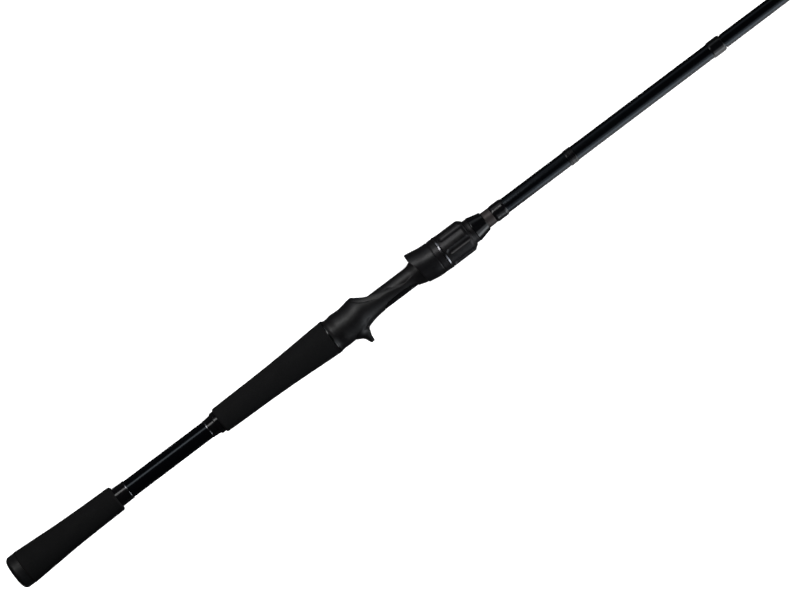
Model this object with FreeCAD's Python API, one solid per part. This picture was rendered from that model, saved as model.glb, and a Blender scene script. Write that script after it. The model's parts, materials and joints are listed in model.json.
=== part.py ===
import FreeCAD, Part
import os
from math import cos, pi, radians, sin

# A two-piece casting rod: split foam handle, trigger reel seat, spigot ferrule and eight line guides.
# X runs along the rod from the butt to the tip, +Y is the reel and guide side, -Y the trigger side, and
# Z is lateral, so the rod lies on its side on a level floor. The origin is the centre of the butt cap's
# flat end, on the rod's axis. Every size is in millimetres.

# Driving dimensions
ROD_LENGTH = 2133.0
NUT_R = 12.5                # the hood and the nut have one outside radius
THREAD_PITCH = 1.5
HOOD_TRAVEL = 10.0          # the moving hood's stroke towards the butt
FERRULE_GRIP = 90.0         # how deep the spigot sits in the butt blank
FIT = 0.05                  # radial play of the spigot
THREAD_FIT = 0.08           # radial play of the hood and the nut on the barrel

# Stations along the rod, from the butt end
CAP_END = 8.3
REAR_GRIP_END = 88.5
REAR_COLLAR_END = 98.2
FRONT_COLLAR_START = 166.8
CHECK_START = 173.0
MAIN_GRIP_START = 176.6
MAIN_GRIP_END = 272.4
SEAT_START = 273.6
REAR_ARBOR_END = 286.0
HOOD_PEAK = 297.0
SADDLE_START = 312.0
SADDLE_END = 341.5
BARREL_START = 349.5
FRONT_ARBOR_START = 352.0
THREAD_START = 357.8
THREAD_END = 393.0
SEAT_END = 395.6
CONE_END = 406.0
TRIM_END = 412.6
FORE_WRAP_END = 423.0
KEEPER_WRAP = 476.8
FERRULE_WRAP = 600.3
BUTT_BLANK_END = 611.0
TIP_BLANK_START = 612.0

# Radii of the reel seat
REAR_ARBOR_R = 9.2
FRONT_ARBOR_R = 7.4
SADDLE_R = 7.35
BARREL_R = 10.0
THREAD_R = 9.3
THREAD_DEPTH = 0.45
ROOF_R = 12.2               # inside of the fixed hood at its mouth
FOOT_HALF = 6.9             # half the width of the slot for the reel's foot
HOOD_X = 346.4              # the moving hood's rearmost point, with the hood fully open
BEAD_X = 368.4              # the ring between the hood and the nut
NUT_X = 370.5
NUT_GAP = 0.1               # between that ring and the nut's rear face
NUT_LENGTH = 22.1
FLUTES = 7

# Outside radii of the two blanks, as (station, radius), straight between stations
BUTT_TAPER = [(4.0, 6.75), (CHECK_START, 6.55), (TRIM_END, 5.65), (BUTT_BLANK_END, 5.5)]
TIP_TAPER = [(TIP_BLANK_START, 5.24), (ROD_LENGTH - 2.5, 1.0)]
BUTT_BORE = 5.2
SPIGOT_R = 4.6
SPIGOT_BORE = 3.3

# Line guides: distance back from the tip and ring size; the first three stand on two feet
GUIDES = [(1321.0, 10.0), (1054.0, 8.0), (838.0, 7.0), (654.0, 6.0),
          (495.0, 6.0), (349.0, 5.5), (216.0, 5.5), (102.0, 5.5)]
DOUBLE_FOOT = 3
TIP_RING = 5.5

V = FreeCAD.Vector
ORIGIN = V(0, 0, 0)
ALONG = V(1, 0, 0)


# Shared shape makers

def taper_r(taper, x):
    """The radius of a blank at a station."""
    for (x0, r0), (x1, r1) in zip(taper, taper[1:]):
        if x <= x1:
            return r0 + (r1 - r0) * (x - x0) / (x1 - x0)
    return taper[-1][1]


def butt_r(x):
    return taper_r(BUTT_TAPER, x)


def tip_r(x):
    return taper_r(TIP_TAPER, x)


def turned(*steps):
    """A solid of revolution about X. A step (x, r) ends a straight run, a pair of such points is an
    arc's middle and end, and a list of points is one smooth curve."""
    edges = []
    here = steps[0]
    for step in steps[1:]:
        if isinstance(step, list):
            curve = Part.BSplineCurve()
            curve.interpolate([V(x, r, 0) for x, r in [here] + step])
            edges.append(curve.toShape())
            here = step[-1]
        elif isinstance(step[0], tuple):
            middle, end = step
            edges.append(Part.Arc(V(*here, 0), V(*middle, 0), V(*end, 0)).toShape())
            here = end
        else:
            edges.append(Part.makeLine(V(*here, 0), V(*step, 0)))
            here = step
    edges.append(Part.makeLine(V(*here, 0), V(*steps[0], 0)))
    return Part.Face(Part.Wire(edges)).revolve(ORIGIN, ALONG, 360)


def sleeve(x0, x1, *outer):
    """A piece round the butt blank from x0 to x1, bored to the blank, with the outer steps given."""
    return turned((x0, butt_r(x0)), *outer, (x1, butt_r(x1)))


def tube(x0, x1, outer, inner):
    return turned((x0, inner), (x0, outer), (x1, outer), (x1, inner))


def oval(x, centre_y, half_height, half_width):
    """A closed oval section square to the rod."""
    points = []
    for i in range(16):
        turn = 2 * pi * i / 16
        points.append(V(x, centre_y + half_height * cos(turn), half_width * sin(turn)))
    curve = Part.BSplineCurve()
    curve.interpolate(Points=points, PeriodicFlag=True)
    return Part.Wire(curve.toShape())


def lofted(sections):
    return Part.makeLoft([oval(*section) for section in sections], True, False)


def side_plate(points, half_width):
    """A plate with an outline in the XY plane and the given half width across the rod."""
    corners = [V(x, y, -half_width) for x, y in points]
    face = Part.Face(Part.makePolygon(corners + corners[:1]))
    return face.extrude(V(0, 0, 2 * half_width))


def box(x0, x1, y0, y1, z0, z1):
    return Part.makeBox(x1 - x0, y1 - y0, z1 - z0, V(x0, y0, z0))


def strut(start, end, radius):
    """A round bar between two points."""
    run = end.sub(start)
    return Part.makeCylinder(radius, run.Length, start, run)


def ball(centre, radius):
    return Part.makeSphere(radius, centre)


def write(name, shape):
    shape.exportStep("parts/" + name + ".step")


# Handle

def butt_cap():
    seat_x, seat_r = BUTT_TAPER[0]
    plug_face = CAP_END - 0.6
    return turned((0, 0), (0, 7.6), ((0.8, 11.3), (2.6, 12.65)), (CAP_END, 12.7), (CAP_END, seat_r),
                  (seat_x, seat_r), (seat_x, BUTT_BORE), (plug_face, BUTT_BORE), (plug_face, 0))


def butt_plug():
    start = CAP_END - 0.6
    end = start + 14
    inner = BUTT_BORE - 2
    return turned((start, 0), (start, BUTT_BORE), (end, BUTT_BORE), (end, inner), (start + 2, inner),
                  (start + 2, 0))


def butt_blank():
    spigot_bore = SPIGOT_R + FIT
    bore_end = BUTT_BLANK_END - FERRULE_GRIP - 6
    return turned((BUTT_TAPER[0][0], BUTT_BORE), *BUTT_TAPER, (BUTT_BLANK_END, spigot_bore),
                  (bore_end, spigot_bore), (CAP_END + 16, BUTT_BORE))


def rear_grip():
    end = REAR_GRIP_END
    return sleeve(CAP_END, end, (CAP_END, 12.45), ((8.6, 12.78), (9.2, 12.88)),
                  [(25.5, 11.9), (47.6, 10.68), (64.2, 10.12), (end - 1.6, 9.75)],
                  ((end - 0.5, 9.2), (end, 8.1)))


def rear_collar():
    ring = REAR_COLLAR_END - 0.9
    return sleeve(REAR_GRIP_END, ring, (REAR_GRIP_END, 7.3), [(92.0, 7.22), (ring, 7.02)])


def rear_collar_ring():
    start = REAR_COLLAR_END - 0.9
    middle = REAR_COLLAR_END - 0.45
    return sleeve(start, REAR_COLLAR_END, (start, 7.1), ((middle, 7.25), (REAR_COLLAR_END, 7.05)))


def front_collar_ring():
    start = FRONT_COLLAR_START
    return sleeve(start, start + 0.9, (start, 6.75), ((start + 0.45, 6.92), (start + 0.9, 6.8)))


def front_collar():
    start = FRONT_COLLAR_START + 0.9
    return sleeve(start, CHECK_START, (start, 6.72), [(170.0, 6.95), (CHECK_START, 7.32)])


def grip_check():
    end = MAIN_GRIP_START
    return sleeve(CHECK_START, end, (CHECK_START, 7.6), ((173.5, 8.05), (174.6, 8.2)), (end, 8.25))


def main_grip():
    start, end = MAIN_GRIP_START, MAIN_GRIP_END
    return sleeve(start, end, (start, 8.6), ((start + 0.4, 9.3), (start + 1.4, 9.58)),
                  [(191, 9.87), (213, 10.22), (235.3, 10.97), (257.4, 12.12), (end, 12.92)])


def seat_trim_ring():
    middle = (MAIN_GRIP_END + SEAT_START) / 2
    return sleeve(MAIN_GRIP_END, SEAT_START, (MAIN_GRIP_END, 12.8), ((middle, 12.95), (SEAT_START, 12.75)))


# Reel seat

def seat_hull():
    """The seat's outer skin from its rear end to the barrel, before the mouth and saddle are cut."""
    return lofted([(SEAT_START, -0.05, 12.72, 12.72), (280, 0.0, 12.32, 12.3), (286, 0.05, 12.1, 12.1),
                   (292, 0.5, 12.15, 12.0), (HOOD_PEAK, 1.35, 12.2, 11.9), (302, 1.9, 11.4, 11.1),
                   (308, 1.3, 9.68, 10.0), (316, 0.6, 8.38, 8.95), (326, 0.3, 7.94, 8.25),
                   (335, 0.3, 7.94, 8.2), (SADDLE_END, 0.3, 8.2, 8.35), (346, 0.1, 9.15, 9.1),
                   (BARREL_START + 0.5, 0, 9.97, 9.97)])


def mouth_bevel():
    """A round bar, tilted down towards the tip, whose surface is the slope inside the hood's rim."""
    radius = 9.0
    tilt = radians(17)
    way = V(cos(tilt), -sin(tilt), 0)
    up = V(sin(tilt), cos(tilt), 0)
    crest = V(HOOD_PEAK, 14.8, 0)
    start = crest.sub(up * radius).sub(way * 8)
    return Part.makeCylinder(radius, 60, start, way)


def outer_skin():
    """Where the full hull stays: behind and below the fixed hood's slanting rim, and below the crease
    that carries on from the rim along the saddle's side and up to the barrel."""
    half = 20
    back = SEAT_START - 1
    rim = [(HOOD_PEAK - 0.5, 15), (298.2, 11.5), (300, 9.0), (303.5, 6.3), (308, 4.1), (313, 2.2),
           (318, 0.7), (327, -0.8), (337, -1.1), (SADDLE_END, -0.3), (346.6, 1.3), (352, 3.2)]
    corners = [V(x, y, -half) for x, y in [rim[-1], (352, -half), (back, -half), (back, 15), rim[0]]]
    curve = Part.BSplineCurve()
    curve.interpolate([V(x, y, -half) for x, y in rim])
    lines = [Part.makeLine(start, end) for start, end in zip(corners, corners[1:])]
    return Part.Face(Part.Wire([curve.toShape()] + lines)).extrude(V(0, 0, 2 * half))


def trigger():
    """A curved finger hook that flares into the hull and thins to a blunt tip. Its sections are given as
    height, station, half length and half width."""
    blade = [(-5.0, 291.5, 11.5, 10.0), (-9.2, 291.8, 9.6, 7.6), (-12.0, 291.6, 6.1, 5.7),
             (-14.0, 293.1, 3.9, 4.9), (-16.0, 293.8, 2.6, 4.6), (-18.0, 294.1, 2.1, 4.3),
             (-19.4, 294.4, 1.75, 3.8), (-20.3, 294.5, 1.3, 3.0)]
    sections = []
    for y, x, half_length, half_width in blade:
        points = []
        for i in range(16):
            turn = 2 * pi * i / 16
            points.append(V(x + half_length * cos(turn), y, half_width * sin(turn)))
        curve = Part.BSplineCurve()
        curve.interpolate(Points=points, PeriodicFlag=True)
        sections.append(Part.Wire(curve.toShape()))
    return Part.makeLoft(sections, True, False)


def barrel_core():
    """Saddle tube, ramp, barrel and thread in one outline. The thread is a row of vee grooves."""
    steps = [(REAR_ARBOR_END, 0), (REAR_ARBOR_END, SADDLE_R), (SADDLE_END, SADDLE_R),
             [(SADDLE_END + 2.5, SADDLE_R + 0.45), (BARREL_START - 1.5, 9.55), (BARREL_START, BARREL_R)],
             (THREAD_START, BARREL_R), (THREAD_START, THREAD_R)]
    x = THREAD_START + THREAD_PITCH
    while x < THREAD_END - THREAD_PITCH:
        steps += [(x - 0.55, THREAD_R), (x - 0.1, THREAD_R - THREAD_DEPTH),
                  (x + 0.1, THREAD_R - THREAD_DEPTH), (x + 0.55, THREAD_R)]
        x += THREAD_PITCH
    steps += [(THREAD_END, THREAD_R), (THREAD_END + 0.3, 9.15), (SEAT_END, 9.15), (SEAT_END, 0)]
    return turned(*steps)


def foot_slot():
    """The space for the reel's foot: a slot above the saddle with a round end under the hood's rim."""
    full_width_x = HOOD_PEAK + 14
    end = Part.makeCylinder(1, 30, ORIGIN, V(0, 1, 0))
    stretch = FreeCAD.Matrix()
    stretch.scale(11.5, 1, FOOT_HALF)
    end = end.transformGeometry(stretch)
    end.translate(V(full_width_x, 0, 0))
    run = box(full_width_x, SADDLE_END + 3, 0, 30, -FOOT_HALF, FOOT_HALF)
    return end.fuse(run)


def hood_pocket():
    """The hollow under the fixed hood's roof that the rear of the reel's foot goes into. Its roof comes
    down towards the mouth, which leaves the mouth its side walls."""
    front = HOOD_PEAK + 14
    hollow = turned((289.5, SADDLE_R), (289.5, 10.3), [(293, 11.5), (HOOD_PEAK, ROOF_R)],
                    (HOOD_PEAK + 1.5, ROOF_R), (303.5, 10.6), (front, 9.3), (front, SADDLE_R))
    return hollow.common(box(288, front + 1, 0, 14, -FOOT_HALF, FOOT_HALF))


def key_slots():
    """Two grooves along the barrel that keep the moving hood from turning."""
    upper = box(BARREL_START - 0.5, THREAD_END, -1.2, 1.2, 8.6, 12)
    lower = box(BARREL_START - 0.5, THREAD_END, -1.2, 1.2, -12, -8.6)
    return upper.fuse(lower)


def insert_window(proud):
    """The band under the saddle that holds the finger rest insert."""
    start, end = SADDLE_START + 2.5, SADDLE_END + 1.5
    middle = (start + end) / 2
    plan = side_plate([(start, -9.5), (start, -6.2), (start + 5, -4.6), (middle, -4.1),
                       (end - 5, -4.6), (end, -6.2), (end, -9.5)], 12)
    return tube(start, end, SADDLE_R + 0.28 + proud, SADDLE_R - 0.35).common(plan)


def seat_bore():
    """Bore on the blank, opened out at both ends for the arbors."""
    back, front = REAR_ARBOR_END, FRONT_ARBOR_START
    return turned((SEAT_START - 1, 0), (SEAT_START - 1, REAR_ARBOR_R), (back, REAR_ARBOR_R),
                  (back, butt_r(back)), (front, butt_r(front)), (front, FRONT_ARBOR_R),
                  (SEAT_END + 1, FRONT_ARBOR_R), (SEAT_END + 1, 0))


def reel_seat_body():
    kept = seat_hull().common(outer_skin().fuse(mouth_bevel()))
    body = kept.fuse(trigger()).cut(foot_slot()).fuse(barrel_core())
    body = body.cut(hood_pocket()).cut(key_slots()).cut(insert_window(3)).cut(seat_bore())
    return body.removeSplitter()


def finger_rest_insert():
    return insert_window(0)


def seat_rear_arbor():
    return sleeve(SEAT_START, REAR_ARBOR_END, (SEAT_START, REAR_ARBOR_R), (REAR_ARBOR_END, REAR_ARBOR_R))


def seat_front_arbor():
    start = FRONT_ARBOR_START
    return sleeve(start, SEAT_END, (start, FRONT_ARBOR_R), (SEAT_END, FRONT_ARBOR_R))


def fixed_hood_liner():
    """A thin pad under the fixed hood's roof."""
    roof = ROOF_R - 0.03
    back, middle, front = 291.0, 293.0, HOOD_PEAK + 0.8
    pad = turned((back, 10.2), (back, 10.75), (middle, 11.45), (HOOD_PEAK, roof), (front, roof),
                 (front, roof - 0.55), (HOOD_PEAK, roof - 0.55), (middle, 10.9))
    return pad.common(box(288, 300, 6, 14, -FOOT_HALF, FOOT_HALF))


# Moving hood and lock nut

def hood_skin():
    """The outside of the hood: a round tube whose rear half bends up over the reel's foot."""
    bend = [(344.5, 2.1), (350, 1.75), (354, 1.0), (358, 0.38), (362, 0.1), (BEAD_X, 0.0)]
    return lofted([(x, y, NUT_R, NUT_R) for x, y in bend])


def hood_front():
    """Everything ahead of the hood's slanting rear rim."""
    rim = [(HOOD_X, 16), (HOOD_X, 9.7), (348.4, 2.4), (350.2, -10.4), (350.3, -16)]
    return side_plate(rim + [(380, -16), (380, 16)], 16)


def hood_mouth():
    """The hollow that the front of the reel's foot goes into: wide at the rim, closed at the barrel."""
    bend = [(344, 2.1, 11.3), (350, 1.55, 11.15), (354, 0.85, 10.8), (358, 0.25, 10.4), (361.5, 0, 10.0)]
    return lofted([(x, y, radius, radius) for x, y, radius in bend])


def moving_hood():
    bore = Part.makeCylinder(BARREL_R + THREAD_FIT, 40, V(BEAD_X - 30, 0, 0), ALONG)
    groove = tube(363.6, 364.4, 14, NUT_R - 0.35)
    return hood_skin().common(hood_front()).cut(hood_mouth()).cut(bore).cut(groove).removeSplitter()


def moving_hood_liner():
    """A thin pad under the hood's roof, clear of the barrel."""
    outer = hood_mouth()
    bend = [(344, 2.1, 10.8), (350, 1.55, 10.65), (354, 0.85, 10.3), (358, 0.25, 9.9)]
    inner = lofted([(x, y, radius, radius) for x, y, radius in bend])
    zone = box(347.4, 353.5, 7, 16, -7.5, 7.5)
    return outer.cut(inner).common(zone)


def hood_bead_ring():
    """A rounded ring on the hood's front end. Two keys inside it run in the barrel's grooves."""
    front = NUT_X - NUT_GAP
    middle = (BEAD_X + front) / 2
    bore = THREAD_R + THREAD_FIT
    ring = turned((BEAD_X, bore), (BEAD_X, NUT_R), ((middle, NUT_R + 0.22), (front, NUT_R - 0.05)), (front, bore))
    upper = box(BEAD_X, front, -1.05, 1.05, 8.75, bore + 0.5)
    lower = box(BEAD_X, front, -1.05, 1.05, -bore - 0.5, -8.75)
    return ring.fuse(upper).fuse(lower).removeSplitter()


def lock_nut_insert():
    bore = THREAD_R + THREAD_FIT
    return tube(NUT_X, NUT_X + NUT_LENGTH - 1.2, 11.0, bore)


def lock_nut():
    """A fluted ring with a chamfered front end. Each flute is round-bottomed and closed at the rear."""
    end = NUT_X + NUT_LENGTH
    chamfer = 3.3
    insert_end = end - 1.2
    bore = THREAD_R + THREAD_FIT
    ring = turned((NUT_X, 11.0), (NUT_X, NUT_R - 0.12), (NUT_X + 0.12, NUT_R), (end - chamfer, NUT_R),
                  (end - 0.4, NUT_R - chamfer + 0.9), ((end - 0.1, 9.9), (end, 9.6)), (end, bore),
                  (insert_end, bore), (insert_end, 11.0))
    flute_r = 3.4
    centre_r = NUT_R + 2.2
    start = NUT_X + 1.0 + flute_r * 0.75
    for i in range(FLUTES):
        turn = 2 * pi * (i + 0.5) / FLUTES + radians(76.2)
        centre = V(start, centre_r * cos(turn), centre_r * sin(turn))
        cutter = Part.makeCylinder(flute_r, NUT_LENGTH, centre, ALONG).fuse(ball(centre, flute_r))
        ring = ring.cut(cutter)
    return ring


# Ahead of the seat

def fore_cone():
    end = CONE_END
    return sleeve(SEAT_END, end, (SEAT_END, 9.1), ((SEAT_END + 0.3, 9.35), (SEAT_END + 0.9, 9.3)),
                  [(400.5, 8.35), (end - 0.3, 7.05)], (end, 6.75))


def fore_trim_ring():
    return sleeve(CONE_END, TRIM_END, (CONE_END, 5.95), (CONE_END + 0.3, 6.05), (TRIM_END - 0.2, 6.0),
                  (TRIM_END, 5.9))


def rounded_wrap(start, end, rise, edge):
    """A coated thread wrap round the butt blank: rise is its height, edge the length of its run-out."""
    low, high = butt_r(start) + rise, butt_r(end) + rise
    first = ((start + edge * 0.3, low - rise * 0.3), (start + edge, low))
    last = ((end - edge * 0.3, high - rise * 0.3), (end, butt_r(end) + 0.08))
    return sleeve(start, end, (start, butt_r(start) + 0.08), first, (end - edge, high), last)


def fore_wrap():
    return rounded_wrap(TRIM_END, FORE_WRAP_END, 0.72, 2.6)


def hook_keeper_wrap():
    return rounded_wrap(KEEPER_WRAP, KEEPER_WRAP + 6.4, 0.42, 1.0).cut(hook_keeper())


def ferrule_wrap():
    return rounded_wrap(FERRULE_WRAP, FERRULE_WRAP + 10.4, 0.62, 1.6)


def hook_keeper():
    """A bent wire loop on the blank's side for parking a hook. Its feet run under the wrap."""
    wire = 0.45
    middle = KEEPER_WRAP + 3.2
    surface = -butt_r(KEEPER_WRAP) - wire - 0.02
    feet_x, top_x = 2.9, 1.6
    top = surface - 3.4
    points = [V(middle - feet_x, 0, surface), V(middle - top_x, 0, surface),
              V(middle - top_x, 0, top), V(middle + top_x, 0, top),
              V(middle + top_x, 0, surface), V(middle + feet_x, 0, surface)]
    shape = ball(points[0], wire)
    for start, end in zip(points, points[1:]):
        shape = shape.fuse(strut(start, end, wire)).fuse(ball(end, wire))
    return shape.removeSplitter()


# Tip section

def ferrule_spigot():
    start = BUTT_BLANK_END - FERRULE_GRIP
    end = TIP_BLANK_START + 78
    return turned((start, SPIGOT_BORE), (start, SPIGOT_R - 0.5), (start + 0.8, SPIGOT_R), (end, SPIGOT_R),
                  (end, SPIGOT_BORE))


def tip_blank():
    bore_end = TIP_BLANK_START + 78
    return turned((TIP_BLANK_START, SPIGOT_R), *TIP_TAPER, (TIP_TAPER[1][0], 0.4), (bore_end, 4.2),
                  (bore_end, SPIGOT_R))


def ring_r(size):
    """Inside radius of a guide's ceramic ring."""
    return size * 0.35


def ceramic_ring(x, y, size):
    """A polished ring with rounded lips, square to the rod at (x, y)."""
    inner, outer = ring_r(size), size / 2
    half, flat = 0.8, 0.45
    lip = inner + 0.3
    ring = turned((x - half, outer - 0.1), (x - half, lip), ((x - half + 0.1, inner + 0.08), (x - flat, inner)),
                  (x + flat, inner), ((x + half - 0.1, inner + 0.08), (x + half, lip)), (x + half, outer - 0.1),
                  (x + half - 0.1, outer), (x - half + 0.1, outer))
    ring.translate(V(0, y, 0))
    return ring


def guide_frame(x, y, size, double):
    """A ring frame on struts and one or two tapered feet that lie along the blank."""
    outer = size / 2 + 0.65
    bore = Part.makeCylinder(size / 2, 3, V(x - 1.5, y, 0), ALONG)
    frame = Part.makeCylinder(outer, 1.3, V(x - 0.65, y, 0), ALONG)
    reach = size * 0.75
    sides = [-1, 1] if double else [-1]
    for side in sides:
        root = x + side * reach
        surface = tip_r(min(root, root + side * size))
        foot_top = surface + 0.75
        knee = V(root, surface + 0.55, 0)
        foot = side_plate([(root - side * 0.3, surface + 0.02), (root - side * 0.3, foot_top),
                           (root + side * size * 0.4, foot_top - 0.1),
                           (root + side * size, surface + 0.3), (root + side * size, surface + 0.02)], 0.9)
        frame = frame.fuse(foot)
        spread = 115 if side < 0 else 150
        for lateral in (-1, 1):
            turn = radians(spread) * lateral
            rim = size / 2 + 0.32
            end = V(x, y + rim * cos(turn), rim * sin(turn))
            bent = V(root + side * 0.1, surface + 0.5, lateral * 0.45)
            frame = frame.fuse(strut(bent, end, 0.42)).fuse(ball(bent, 0.42))
        frame = frame.fuse(ball(knee, 0.5))
    blank = turned((x - 4 * size, 0), (x - 4 * size, tip_r(x - 4 * size)), (x + 4 * size, tip_r(x + 4 * size)),
                   (x + 4 * size, 0))
    return frame.cut(bore).cut(blank).removeSplitter()


def foot_wraps(x, size, double, frame):
    """Coated thread over each foot of a guide."""
    wraps = []
    for side in ([-1, 1] if double else [-1]):
        near = x + side * (size * 0.75 + 0.9)
        far = x + side * (size * 1.75 + 1.8)
        start, end = min(near, far), max(near, far)
        base = tip_r(start)
        full = base + 0.72
        edge = min(1.6, (end - start) * 0.3)
        shell = turned((start, 0), (start, base + 0.1), ((start + edge * 0.3, full - 0.25), (start + edge, full)),
                       (end - edge, full), ((end - edge * 0.3, full - 0.25), (end, base + 0.1)), (end, 0))
        shell.translate(V(0, 0.42, 0))
        blank = turned((start - 1, 0), (start - 1, tip_r(start - 1)), (end + 1, tip_r(end + 1)), (end + 1, 0))
        wraps.append(shell.cut(blank).cut(frame))
    return Part.makeCompound(wraps)


def write_guides():
    for number, (from_tip, size) in enumerate(GUIDES, 1):
        x = ROD_LENGTH - from_tip
        y = tip_r(x) + 0.9 * size + 0.2
        double = number <= DOUBLE_FOOT
        frame = guide_frame(x, y, size, double)
        name = "guide_%d_" % number
        write(name + "frame", frame)
        write(name + "ring", ceramic_ring(x, y, size))
        write(name + "wraps", foot_wraps(x, size, double, frame))


def tip_top_place():
    return ROD_LENGTH - 0.8, 4.2


def tip_top_frame():
    """A short tube over the tip, and a ring frame on two struts and a spine."""
    x, y = tip_top_place()
    end = TIP_TAPER[1][0]
    start = end - 11
    outer = TIP_RING / 2 + 0.65
    bore = Part.makeCylinder(TIP_RING / 2, 3, V(x - 1.5, y, 0), ALONG)
    frame = Part.makeCylinder(outer, 1.3, V(x - 0.65, y, 0), ALONG).cut(bore)
    sleeve_r = tip_r(start) + 0.5
    shell = turned((start, 0), (start, sleeve_r), (end + 0.6, sleeve_r), (end + 1.3, sleeve_r * 0.6),
                   (end + 1.3, 0))
    rim = TIP_RING / 2 + 0.32
    for lateral in (-1, 1):
        turn = radians(105) * lateral
        foot = V(start + 2, sleeve_r * 0.55, sleeve_r * 0.75 * lateral)
        ring_end = V(x, y + rim * cos(turn), rim * sin(turn))
        shell = shell.fuse(strut(foot, ring_end, 0.42)).fuse(ball(foot, 0.42))
    spine = strut(V(end + 0.2, sleeve_r * 0.5, 0), V(x, y - rim, 0), 0.5)
    blank = turned((start - 1, 0), (start - 1, tip_r(start - 1)), (end, tip_r(end)), (end, 0))
    return shell.fuse(spine).fuse(frame).cut(bore).cut(blank).removeSplitter()


def tip_top_wrap():
    end = TIP_TAPER[1][0] - 11
    start = end - 9
    base = tip_r(start)
    return turned((start, tip_r(start)), (start, base + 0.08), ((start + 0.4, base + 0.3), (start + 1.2, base + 0.42)),
                  (end, base + 0.42), (end, tip_r(end)))


def main():
    os.makedirs("parts", exist_ok=True)
    for make in (butt_cap, butt_plug, butt_blank, rear_grip, rear_collar, rear_collar_ring,
                 front_collar_ring, front_collar, grip_check, main_grip, seat_trim_ring, reel_seat_body,
                 finger_rest_insert, seat_rear_arbor, seat_front_arbor, fixed_hood_liner, moving_hood,
                 moving_hood_liner, hood_bead_ring, lock_nut, lock_nut_insert, fore_cone, fore_trim_ring,
                 fore_wrap, hook_keeper, hook_keeper_wrap, ferrule_wrap, ferrule_spigot, tip_blank,
                 tip_top_frame, tip_top_wrap):
        write(make.__name__, make())
    x, y = tip_top_place()
    write("tip_top_ring", ceramic_ring(x, y, TIP_RING))
    write_guides()


main()
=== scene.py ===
import json
import math
from bisect import bisect_right

import bpy
from mathutils import Matrix, Vector, noise


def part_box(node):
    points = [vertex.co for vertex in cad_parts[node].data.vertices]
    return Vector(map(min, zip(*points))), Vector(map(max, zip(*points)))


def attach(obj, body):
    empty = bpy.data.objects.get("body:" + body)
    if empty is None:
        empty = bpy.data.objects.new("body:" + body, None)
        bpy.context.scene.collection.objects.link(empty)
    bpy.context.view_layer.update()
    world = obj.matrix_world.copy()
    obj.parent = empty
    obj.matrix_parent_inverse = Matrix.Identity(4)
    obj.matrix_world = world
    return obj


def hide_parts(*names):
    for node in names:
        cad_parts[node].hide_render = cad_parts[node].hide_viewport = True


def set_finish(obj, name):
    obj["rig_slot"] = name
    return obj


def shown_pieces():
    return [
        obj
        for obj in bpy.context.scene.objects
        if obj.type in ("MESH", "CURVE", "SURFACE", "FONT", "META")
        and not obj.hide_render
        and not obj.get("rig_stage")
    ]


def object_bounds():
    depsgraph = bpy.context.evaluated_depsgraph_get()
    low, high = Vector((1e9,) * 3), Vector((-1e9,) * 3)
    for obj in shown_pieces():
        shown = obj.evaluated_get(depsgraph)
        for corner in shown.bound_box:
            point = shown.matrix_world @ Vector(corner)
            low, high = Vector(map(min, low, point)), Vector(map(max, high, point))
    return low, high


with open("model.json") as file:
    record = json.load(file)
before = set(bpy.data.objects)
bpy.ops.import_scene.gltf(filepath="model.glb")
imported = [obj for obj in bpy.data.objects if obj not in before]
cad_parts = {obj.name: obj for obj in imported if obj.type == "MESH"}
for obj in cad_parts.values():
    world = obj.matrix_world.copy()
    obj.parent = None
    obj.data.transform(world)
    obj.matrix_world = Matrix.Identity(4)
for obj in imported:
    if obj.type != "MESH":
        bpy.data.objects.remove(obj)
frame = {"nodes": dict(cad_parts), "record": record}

cad_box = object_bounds()
nodes = frame["nodes"]
MM = 0.001

# The view: straight down on the rod's side, with the tip towards the upper right
VIEW_TURN = math.radians(37.0)
VIEW_WIDTH = 0.552
VIEW_SHIFT = (-8.3 * MM, -8.4 * MM)     # from the reel seat's middle to the picture's
LENS = 200.0
SENSOR = 36.0

# Stations along the rod, from the frame
SEAT_BACK, SEAT_FRONT = (end.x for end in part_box("reel_seat_body"))
CONE_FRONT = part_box("fore_cone")[1].x
WRAP_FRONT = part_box("fore_wrap")[1].x
TIP_END = cad_box[1].x

# Brightness of the paper and of the room around it, to the camera and to the rod
PAPER_WHITE = 0.93
# PAPER_DARK is painted shade: the paper as the rod sees it. PAPER_GLOW is a painted pool of light on it
# beside the fore part.
PAPER_DARK = 0.008
PAPER_GLOW = 0.3
ROOM_WHITE = 0.97
ROOM_DARK = 0.007

# Tint of the boxes beside the rod
COOL = (0.90, 0.95, 1.0)


# Camera, floor and lights

def add_camera():
    """A long lens over the handle; the butt cap sits near the picture's lower left corner."""
    middle = (SEAT_BACK + SEAT_FRONT) / 2
    data = bpy.data.cameras.new("camera")
    data.lens = LENS
    data.sensor_width = SENSOR
    camera = bpy.data.objects.new("camera", data)
    distance = VIEW_WIDTH * LENS / SENSOR
    camera.location = (middle + VIEW_SHIFT[0], VIEW_SHIFT[1], distance)
    camera.rotation_euler = (0, 0, -VIEW_TURN)
    data.clip_start = 0.1
    data.clip_end = 50
    bpy.context.scene.collection.objects.link(camera)
    bpy.context.scene.camera = camera


def group_of(name, objects):
    """A collection for light linking that holds the objects."""
    group = bpy.data.collections.new(name)
    for o in objects:
        group.objects.link(o)
    return group


def area_light(name, place, aim, size, power, colour=(1, 1, 1)):
    """A rectangle light whose long side keeps to the rod's direction."""
    data = bpy.data.lights.new(name, "AREA")
    data.shape = "RECTANGLE"
    data.size, data.size_y = size
    data.energy = power
    data.color = colour
    light = bpy.data.objects.new(name, data)
    back = (Vector(place) - Vector(aim)).normalized()
    up = back.cross(Vector((1, 0, 0))).normalized()
    side = up.cross(back)
    light.matrix_world = Matrix.Translation(place) @ Matrix((side, up, back)).transposed().to_4x4()
    bpy.context.scene.collection.objects.link(light)
    return light


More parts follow.
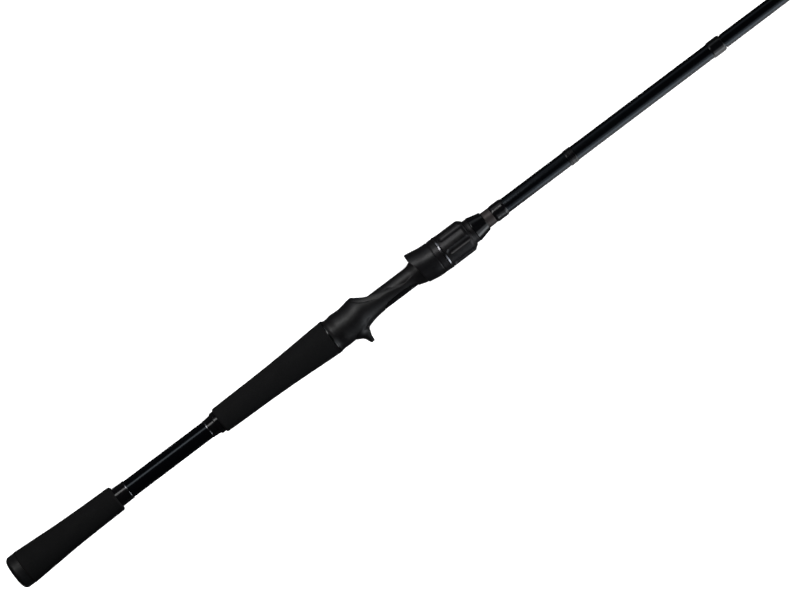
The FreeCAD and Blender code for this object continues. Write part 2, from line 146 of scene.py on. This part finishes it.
def side_light(name, x_span, degrees, width_degrees, reach, brightness, colour=(1, 1, 1)):
    """A light panel along the rod, some degrees from straight above towards the guide side. Its
    brightness is what a mirror would show."""
    x = sum(x_span) / 2
    angle = math.radians(degrees)
    place = (x, reach * math.sin(angle), reach * math.cos(angle))
    width = 2 * reach * math.tan(math.radians(width_degrees) / 2)
    size = (x_span[1] - x_span[0], width)
    return area_light(name, place, (x, 0, 0), size, math.pi * size[0] * size[1] * brightness, colour)


def add_floor():
    """A pale floor under the rod, with its own soft light so that the object's lights leave it even."""
    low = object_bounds()[0]
    middle = (cad_box[0].x + cad_box[1].x) / 2
    mesh = bpy.data.meshes.new("floor")
    half = 30
    z = low.z - 0.2 * MM
    corners = [(middle - half, -half, z), (middle + half, -half, z),
               (middle + half, half, z), (middle - half, half, z)]
    mesh.from_pydata(corners, [], [(0, 1, 2, 3)])
    floor = bpy.data.objects.new("floor", mesh)
    bpy.context.scene.collection.objects.link(floor)
    floor.data.materials.append(floor_material())
    floor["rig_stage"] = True
    return floor


def floor_material():
    """White paper to the camera. The rod sees it dark, a painted shade which keeps the black parts' edges
    dark, but for a brighter stretch beside the fore part on the trigger side: a painted pool of light that
    the fore part's lower side reflects."""
    material = bpy.data.materials.new("floor_paper")
    material.use_nodes = True
    tree = material.node_tree
    tree.nodes.clear()
    output = tree.nodes.new("ShaderNodeOutputMaterial")
    mix = tree.nodes.new("ShaderNodeMixShader")
    seen = tree.nodes.new("ShaderNodeBsdfDiffuse")
    seen.inputs["Color"].default_value = (PAPER_WHITE, PAPER_WHITE, PAPER_WHITE, 1)
    unseen = tree.nodes.new("ShaderNodeBsdfDiffuse")
    place = tree.nodes.new("ShaderNodeTexCoord").outputs["Object"]
    axes = tree.nodes.new("ShaderNodeSeparateXYZ")
    tree.links.new(place, axes.inputs[0])
    # Painted pool of light: to the rod, the paper rises from PAPER_DARK to PAPER_GLOW ahead of the fore cone
    # and beside it on the trigger side, so the fore part's lower side reflects a bright stretch.
    along = ramp(tree, axes.outputs["X"], CONE_FRONT, CONE_FRONT + 80 * MM, 0, PAPER_GLOW)
    beside = ramp(tree, axes.outputs["Y"], -4 * MM, -30 * MM, 0, 1)
    lit = tree.nodes.new("ShaderNodeMath")
    lit.operation = "MULTIPLY_ADD"
    tree.links.new(along, lit.inputs[0])
    tree.links.new(beside, lit.inputs[1])
    lit.inputs[2].default_value = PAPER_DARK
    tree.links.new(lit.outputs[0], unseen.inputs["Color"])
    path = tree.nodes.new("ShaderNodeLightPath")
    tree.links.new(path.outputs["Is Camera Ray"], mix.inputs["Fac"])
    tree.links.new(unseen.outputs[0], mix.inputs[1])
    tree.links.new(seen.outputs[0], mix.inputs[2])
    tree.links.new(mix.outputs[0], output.inputs["Surface"])
    return material


def ramp(tree, value, low, high, to_low, to_high):
    """A smooth step of value from one level to another."""
    span = tree.nodes.new("ShaderNodeMapRange")
    span.interpolation_type = "SMOOTHSTEP"
    for key, number in (("From Min", low), ("From Max", high), ("To Min", to_low), ("To Max", to_high)):
        span.inputs[key].default_value = number
    tree.links.new(value, span.inputs["Value"])
    return span.outputs["Result"]


def add_world():
    """White to the camera; dim to everything else, so that black surfaces stay black."""
    world = bpy.data.worlds.new("studio")
    world.use_nodes = True
    bpy.context.scene.world = world
    tree = world.node_tree
    back = tree.nodes["Background"]
    back.inputs["Color"].default_value = (1, 1, 1, 1)
    path = tree.nodes.new("ShaderNodeLightPath")
    strength = tree.nodes.new("ShaderNodeMapRange")
    strength.inputs["To Min"].default_value = ROOM_DARK
    strength.inputs["To Max"].default_value = ROOM_WHITE
    tree.links.new(path.outputs["Is Camera Ray"], strength.inputs["Value"])
    tree.links.new(strength.outputs[0], back.inputs["Strength"])


def add_lights(floor):
    """Strips over the grips and the seat, dim boxes beside the seat and the fore part, and low cool
    boxes on the fore part's other side."""
    strip_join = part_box("main_grip")[1].x - 30 * MM
    low_start = WRAP_FRONT + 15 * MM
    lights = [side_light("grip_strip", (-0.2, strip_join), 35, 17, 0.35, 2.4),
              side_light("seat_strip", (strip_join, WRAP_FRONT), 38, 22, 0.35, 3.6),
              side_light("seat_side_box", (SEAT_BACK - 30 * MM, SEAT_FRONT), 68, 26, 0.35, 0.5, COOL),
              side_light("upper_side_box", (SEAT_FRONT, TIP_END), 66, 24, 0.6, 0.3, COOL),
              side_light("lower_side_box", (low_start, TIP_END), -82, 30, 0.6, 2.4, COOL),
              side_light("lower_fill_box", (low_start, TIP_END), -52, 28, 0.6, 0.7, COOL)]
    paper = area_light("floor_light", (1.0, 0, 5.0), (1.0, 0, 0), (9, 9), 1500)
    subject = group_of("subject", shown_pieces())
    for light in lights:
        light.light_linking.receiver_collection = subject
    paper.light_linking.receiver_collection = group_of("ground", [floor])


# Shapes

def outline(node):
    """The (station, radius) points of a turned CAD node's outer skin, and the radius of its bore."""
    rings = {}
    bore = 1.0
    for v in nodes[node].data.vertices:
        p = nodes[node].matrix_world @ v.co
        x, r = round(p.x, 6), math.hypot(p.y, p.z)
        rings[x] = max(rings.get(x, 0), r)
        bore = min(bore, r)
    points = sorted(rings.items())
    kept = points[:1]
    for here, after in zip(points[1:], points[2:]):
        x0, r0 = kept[-1]
        chord = r0 + (after[1] - r0) * (here[0] - x0) / (after[0] - x0)
        if here[1] > chord - 0.35 * MM:
            kept.append(here)
    return kept + points[-1:], bore


def radius_at(points, x):
    """The outline's radius at a station, on a smooth curve through its points."""
    i = min(max(bisect_right([p[0] for p in points], x), 1), len(points) - 1)
    (x0, r0), (x1, r1) = points[i - 1], points[i]
    span = x1 - x0
    share = (x - x0) / span
    slope = (r1 - r0) / span
    slope0 = slope1 = slope
    if i > 1:
        before_x, before_r = points[i - 2]
        slope0 = joined(slope, (r0 - before_r) / (x0 - before_x))
    if i < len(points) - 1:
        after_x, after_r = points[i + 1]
        slope1 = joined(slope, (after_r - r1) / (after_x - x1))
    rest = 1 - share
    return (r0 * rest * rest * (1 + 2 * share) + r1 * share * share * (3 - 2 * share)
            + span * share * rest * (slope0 * rest - slope1 * share))


def joined(a, b):
    """One slope for two neighbouring runs, flat at a turning point, so that no curve overshoots."""
    return 2 * a * b / (a + b) if a * b > 0 else 0


def turned_piece(name, node, body, slot, step, around, relief=None):
    """A closed, finely turned mesh that stands for a turned CAD node. relief(x, angle) is added height."""
    points, bore = outline(node)
    start, end = points[0][0], points[-1][0]
    count = max(2, round((end - start) / step))
    stations = {start + (end - start) * i / count for i in range(count + 1)}
    stations = sorted(stations | {x for x, r in points})
    rings = [(x, radius_at(points, x), relief) for x in stations]
    rings += [(end, bore, None), (start, bore, None)]
    corners = []
    for x, r, height in rings:
        for j in range(around):
            angle = 2 * math.pi * j / around
            full = r + (height(x, angle) if height else 0)
            corners.append((x, full * math.cos(angle), full * math.sin(angle)))
    faces = []
    for i in range(len(rings)):
        for j in range(around):
            after = (i + 1) % len(rings)
            k = (j + 1) % around
            faces.append((i * around + j, i * around + k, after * around + k, after * around + j))
    mesh = bpy.data.meshes.new(name)
    mesh.from_pydata(corners, [], faces)
    mesh.validate()
    mesh.shade_smooth()
    piece = bpy.data.objects.new(name, mesh)
    bpy.context.scene.collection.objects.link(piece)
    mesh.set_sharp_from_angle(angle=math.radians(50))
    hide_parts(node)
    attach(piece, body)
    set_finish(piece, slot)
    return piece


def foam_relief(x, angle):
    """The foam's slightly uneven, open-pored skin. It only sinks below the moulded outline."""
    around = Vector((x, 12 * MM * math.cos(angle), 12 * MM * math.sin(angle)))
    hollow = noise.noise(around / (7 * MM)) - 1
    pore = min(0, noise.noise(around / (0.9 * MM)) - 0.25)
    return 0.03 * MM * hollow + 0.05 * MM * pore


def thread_relief(x, angle):
    """Ridges of thread wound round the blank, softened by the coat over them."""
    turns = x / (0.24 * MM) + angle / (2 * math.pi)
    return 0.006 * MM * (math.cos(2 * math.pi * turns) - 1)


def tape_relief(x, angle):
    """The faint spiral that the wrapping tape leaves on an unsanded blank."""
    turns = x / (2.1 * MM) + angle / (2 * math.pi)
    return 0.004 * MM * (math.cos(2 * math.pi * turns) - 1)


def add_foam_grips():
    for node in ("rear_grip", "main_grip"):
        turned_piece(node + "_foam", node, "handle", "foam_grip", 0.6 * MM, 128, foam_relief)


def add_blanks():
    turned_piece("butt_tube", "butt_blank", "handle", "carbon_blank", 0.7 * MM, 72, tape_relief)
    turned_piece("tip_tube", "tip_blank", "tip_section", "carbon_blank", 0.7 * MM, 48, tape_relief)


def add_wraps():
    for node in ("fore_wrap", "hook_keeper_wrap", "ferrule_wrap"):
        turned_piece(node + "_thread", node, "handle", "thread_wrap", 0.04 * MM, 96, thread_relief)
    turned_piece("tip_top_thread", "tip_top_wrap", "tip_section", "thread_wrap", 0.04 * MM, 48, thread_relief)


def round_edges(node, grid, passes):
    """Re-meshes a CAD node on a fine grid and relaxes it, which gives its edges small radii."""
    remesh = nodes[node].modifiers.new("fine_grid", "REMESH")
    remesh.mode = "VOXEL"
    remesh.voxel_size = grid
    remesh.use_smooth_shade = True
    relax = nodes[node].modifiers.new("relaxed_edges", "SMOOTH")
    relax.factor = 0.5
    relax.iterations = passes


def soften_castings():
    round_edges("reel_seat_body", 0.22 * MM, 7)
    round_edges("moving_hood", 0.16 * MM, 6)
    round_edges("lock_nut", 0.16 * MM, 6)


# Materials

class Look:
    """A Principled material with short helpers for its procedural detail, in metres of the frame."""

    def __init__(self, name, colour, roughness, metallic=0.0, specular=0.5, coat=0.0, coat_roughness=0.1):
        self.material = bpy.data.materials.new(name)
        self.material.use_nodes = True
        self.tree = self.material.node_tree
        self.bsdf = self.tree.nodes["Principled BSDF"]
        self.bsdf.inputs["Base Color"].default_value = (*colour, 1)
        self.bsdf.inputs["Roughness"].default_value = roughness
        self.bsdf.inputs["Metallic"].default_value = metallic
        self.bsdf.inputs["Specular IOR Level"].default_value = specular
        self.bsdf.inputs["Coat Weight"].default_value = coat
        self.bsdf.inputs["Coat Roughness"].default_value = coat_roughness
        self.place = self.tree.nodes.new("ShaderNodeTexCoord").outputs["Object"]

    def node(self, kind, **settings):
        made = self.tree.nodes.new(kind)
        for key, value in settings.items():
            setattr(made, key, value)
        return made

    def link(self, source, target):
        self.tree.links.new(source, target)

    def stretched(self, scale):
        """Object coordinates scaled per axis, for grain that runs one way."""
        mapping = self.node("ShaderNodeMapping")
        mapping.inputs["Scale"].default_value = scale
        self.link(self.place, mapping.inputs["Vector"])
        return mapping.outputs["Vector"]

    def noise(self, size, detail=3.0, roughness=0.5, stretch=(1, 1, 1)):
        """Noise whose features are about size metres."""
        texture = self.node("ShaderNodeTexNoise")
        texture.inputs["Scale"].default_value = 1 / size
        texture.inputs["Detail"].default_value = detail
        texture.inputs["Roughness"].default_value = roughness
        self.link(self.stretched(stretch), texture.inputs["Vector"])
        return texture.outputs["Fac"]

    def cells(self, size, feature="F1", stretch=(1, 1, 1)):
        texture = self.node("ShaderNodeTexVoronoi", feature=feature)
        texture.inputs["Scale"].default_value = 1 / size
        self.link(self.stretched(stretch), texture.inputs["Vector"])
        return texture.outputs["Distance"]

    def ranged(self, value, low, high, to_low, to_high):
        span = self.node("ShaderNodeMapRange")
        for key, number in (("From Min", low), ("From Max", high), ("To Min", to_low), ("To Max", to_high)):
            span.inputs[key].default_value = number
        self.link(value, span.inputs["Value"])
        return span.outputs["Result"]

    def maths(self, operation, first, second):
        sum_node = self.node("ShaderNodeMath", operation=operation)
        for socket, value in zip(sum_node.inputs, (first, second)):
            if isinstance(value, (int, float)):
                socket.default_value = value
            else:
                self.link(value, socket)
        return sum_node.outputs[0]

    def colour_between(self, value, dark, light):
        mix = self.node("ShaderNodeMix", data_type="RGBA")
        mix.inputs["A"].default_value = (*dark, 1)
        mix.inputs["B"].default_value = (*light, 1)
        self.link(value, mix.inputs["Factor"])
        self.link(mix.outputs["Result"], self.bsdf.inputs["Base Color"])

    def vary_roughness(self, value, low, high):
        self.link(self.ranged(value, 0.3, 0.7, low, high), self.bsdf.inputs["Roughness"])

    def bump(self, height, depth, strength=1.0):
        """Surface relief: depth is in metres for a height that runs from 0 to 1."""
        bump = self.node("ShaderNodeBump")
        bump.inputs["Distance"].default_value = depth
        bump.inputs["Strength"].default_value = strength
        self.link(height, bump.inputs["Height"])
        self.link(bump.outputs["Normal"], self.bsdf.inputs["Normal"])


def foam_look():
    look = Look("foam_grip", (0.008, 0.008, 0.0085), 0.9, specular=0.3)
    grain = look.cells(0.55 * MM)
    fine = look.noise(0.25 * MM, 4, 0.6)
    mottle = look.noise(9 * MM, 3, 0.55)
    look.colour_between(look.ranged(look.maths("ADD", mottle, grain), 0.5, 1.3, 0, 1),
                        (0.0062, 0.0062, 0.0068), (0.0115, 0.0112, 0.0118))
    look.vary_roughness(mottle, 0.82, 0.95)
    look.bump(look.maths("ADD", look.maths("MULTIPLY", grain, 0.6), fine), 0.07 * MM, 0.4)
    return look.material


def cap_look():
    look = Look("cap_rubber", (0.014, 0.014, 0.015), 0.45, specular=0.45)
    scuffs = look.noise(1.6 * MM, 5, 0.65)
    look.colour_between(scuffs, (0.010, 0.010, 0.011), (0.021, 0.021, 0.022))
    look.vary_roughness(scuffs, 0.36, 0.58)
    look.bump(look.noise(0.3 * MM, 3), 0.03 * MM, 0.5)
    return look.material


def blank_look():
    """Unsanded carbon tube: cloudy fibre, dimmer and a little smoother behind the reel seat."""
    look = Look("carbon_blank", (0.003, 0.0034, 0.0045), 0.22)
    look.bsdf.inputs["Specular Tint"].default_value = (0.78, 0.89, 1, 1)
    axes = look.node("ShaderNodeSeparateXYZ")
    look.link(look.place, axes.inputs[0])
    ahead = look.ranged(axes.outputs["X"], SEAT_BACK, SEAT_FRONT, 0, 1)
    look.link(look.ranged(ahead, 0, 1, 0.32, 0.5), look.bsdf.inputs["Specular IOR Level"])
    fibre = look.noise(0.5 * MM, 4, 0.6, (0.12, 1, 1))
    look.colour_between(fibre, (0.0018, 0.002, 0.0028), (0.0042, 0.0048, 0.0064))
    clouds = look.ranged(fibre, 0.3, 0.7, -0.03, 0.03)
    along = look.ranged(ahead, 0, 1, 0.17, 0.24)
    look.link(look.maths("ADD", clouds, along), look.bsdf.inputs["Roughness"])
    look.bump(fibre, 0.010 * MM, 0.4)
    return look.material


def seat_look():
    look = Look("seat_composite", (0.010, 0.0095, 0.010), 0.44, specular=0.5)
    cloud = look.noise(3 * MM, 4, 0.6)
    look.colour_between(cloud, (0.0065, 0.006, 0.0066), (0.0115, 0.0108, 0.0115))
    look.vary_roughness(cloud, 0.40, 0.48)
    look.bump(look.noise(0.35 * MM, 4, 0.7), 0.02 * MM, 0.5)
    return look.material


def gloss_look():
    look = Look("gloss_trim", (0.006, 0.006, 0.007), 0.16, specular=0.5, coat=0.35, coat_roughness=0.05)
    haze = look.noise(2 * MM, 4, 0.6)
    look.colour_between(haze, (0.004, 0.004, 0.005), (0.009, 0.009, 0.010))
    look.vary_roughness(haze, 0.12, 0.22)
    look.bump(look.noise(1.2 * MM, 2), 0.006 * MM, 0.4)
    return look.material


def bright_look():
    look = Look("bright_trim", (0.28, 0.28, 0.30), 0.22, metallic=1.0)
    haze = look.noise(1.5 * MM, 4, 0.6)
    look.colour_between(haze, (0.22, 0.22, 0.24), (0.34, 0.34, 0.36))
    look.vary_roughness(haze, 0.18, 0.28)
    look.bump(look.noise(0.4 * MM, 2, 0.5, (0.2, 1, 1)), 0.004 * MM, 0.4)
    return look.material


def anodised_look():
    look = Look("anodised_black", (0.020, 0.019, 0.021), 0.34, metallic=0.35, specular=0.5)
    blast = look.noise(0.22 * MM, 3, 0.7)
    cloud = look.noise(4 * MM, 3, 0.5)
    look.colour_between(cloud, (0.014, 0.0135, 0.015), (0.026, 0.025, 0.027))
    look.vary_roughness(cloud, 0.30, 0.40)
    look.bump(blast, 0.012 * MM, 0.5)
    return look.material


def grey_trim_look():
    look = Look("grey_trim", (0.10, 0.086, 0.084), 0.42, metallic=0.4)
    brush = look.noise(0.25 * MM, 4, 0.6, (6, 1, 1))
    look.colour_between(brush, (0.075, 0.065, 0.064), (0.125, 0.108, 0.105))
    look.vary_roughness(brush, 0.36, 0.5)
    look.bump(brush, 0.01 * MM, 0.4)
    return look.material


def wrap_look():
    """Black thread under a thick gloss coat."""
    look = Look("thread_wrap", (0.008, 0.008, 0.010), 0.3, specular=0.2, coat=1.0, coat_roughness=0.04)
    thread = look.node("ShaderNodeTexWave", bands_direction="X", wave_profile="SIN")
    thread.inputs["Scale"].default_value = 0.314 / (0.22 * MM)
    thread.inputs["Distortion"].default_value = 0.3
    look.link(look.place, thread.inputs["Vector"])
    look.colour_between(thread.outputs["Fac"], (0.003, 0.003, 0.004), (0.010, 0.010, 0.012))
    look.bump(thread.outputs["Fac"], 0.008 * MM, 0.5)
    return look.material


def guide_metal_look():
    look = Look("guide_metal", (0.03, 0.03, 0.034), 0.3, metallic=0.8)
    haze = look.noise(1 * MM, 4, 0.6)
    look.colour_between(haze, (0.022, 0.022, 0.026), (0.045, 0.045, 0.05))
    look.vary_roughness(haze, 0.24, 0.38)
    look.bump(look.noise(0.3 * MM, 3), 0.008 * MM, 0.4)
    return look.material


def ceramic_look():
    look = Look("guide_ceramic", (0.03, 0.032, 0.038), 0.12, specular=0.6)
    haze = look.noise(1.5 * MM, 3, 0.5)
    look.colour_between(haze, (0.022, 0.024, 0.03), (0.04, 0.043, 0.05))
    look.vary_roughness(haze, 0.08, 0.16)
    look.bump(haze, 0.005 * MM, 0.3)
    return look.material


def plastic_look(name):
    look = Look(name, (0.03, 0.03, 0.03), 0.55)
    haze = look.noise(2 * MM, 4, 0.6)
    look.colour_between(haze, (0.022, 0.022, 0.022), (0.04, 0.04, 0.04))
    look.vary_roughness(haze, 0.48, 0.62)
    look.bump(look.noise(0.4 * MM, 3), 0.02 * MM, 0.4)
    return look.material


def dress_pieces():
    """Gives every shown piece the finished material of its slot."""
    looks = {"foam_grip": foam_look(), "cap_rubber": cap_look(), "carbon_blank": blank_look(),
             "seat_composite": seat_look(), "gloss_trim": gloss_look(), "bright_trim": bright_look(),
             "anodised_black": anodised_look(), "grey_trim": grey_trim_look(), "thread_wrap": wrap_look(),
             "guide_metal": guide_metal_look(), "guide_ceramic": ceramic_look(),
             "inner_plastic": plastic_look("inner_plastic"), "nut_insert": plastic_look("nut_insert")}
    slots = {part["node"]: part["material_slot"] for part in frame["record"]["subparts"]}
    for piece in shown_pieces():
        if piece.name in slots:
            for slot in piece.material_slots:
                slot.material = looks[slots[piece.name]]
        else:
            piece.data.materials.append(looks[piece["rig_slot"]])


bpy.context.scene.view_settings.view_transform = "Standard"
add_foam_grips()
add_blanks()
add_wraps()
soften_castings()
dress_pieces()
add_camera()
floor = add_floor()
add_world()
add_lights(floor)
